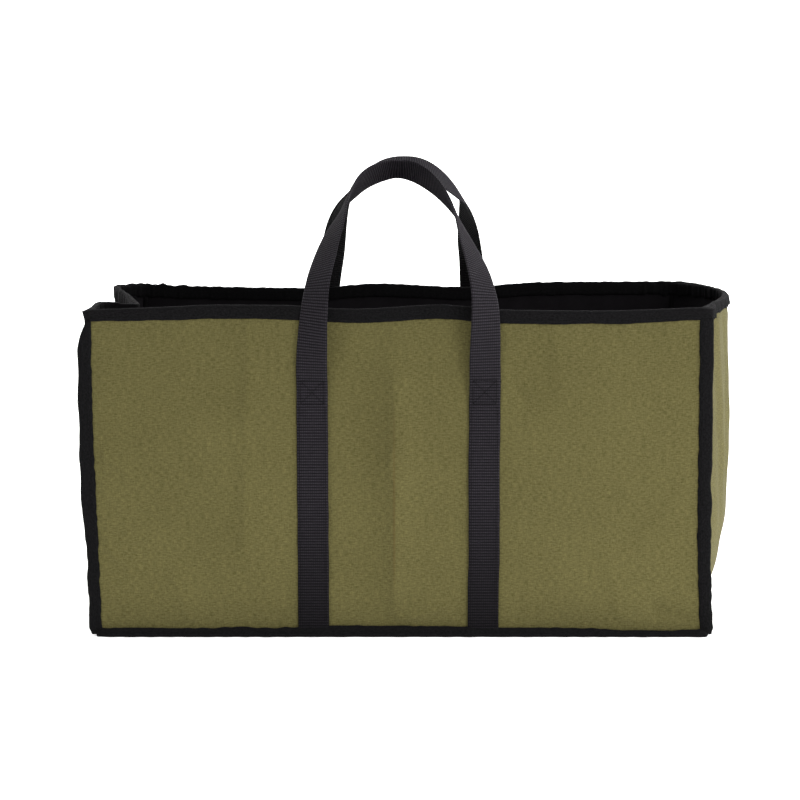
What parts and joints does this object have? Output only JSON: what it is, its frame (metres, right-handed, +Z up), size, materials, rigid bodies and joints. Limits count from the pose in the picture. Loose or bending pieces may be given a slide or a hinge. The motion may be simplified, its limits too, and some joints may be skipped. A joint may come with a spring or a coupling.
{
  "type": "canvas log carrier",
  "caption": "Open oblong tub of lined olive canvas with outward seams bound in black tape, and webbing straps that run up both long panels and over the top as handles.",
  "frame": {"origin": "centre of the base panel's underside, on the floor", "axes": "+X along the length, to the right of the front panel; +Y from the front panel to the back panel; +Z up"},
  "size_m": [0.6525, 0.2976, 0.464],
  "materials": {
    "canvas": "matt woven canvas, olive",
    "lining": "matt black cloth",
    "tape": "matt black woven tape",
    "webbing": "ribbed charcoal webbing"
  },
  "bodies": {
    "root": {"front_panel": "canvas", "back_panel": "canvas", "left_end_panel": "canvas", "right_end_panel": "canvas", "base_panel": "canvas", "lining": "lining", "rim_binding": "tape", "base_binding": "tape", "front_left_binding": "tape", "front_right_binding": "tape", "back_left_binding": "tape", "back_right_binding": "tape", "front_handle": "webbing", "back_handle": "webbing"}
  },
  "joints": []
}
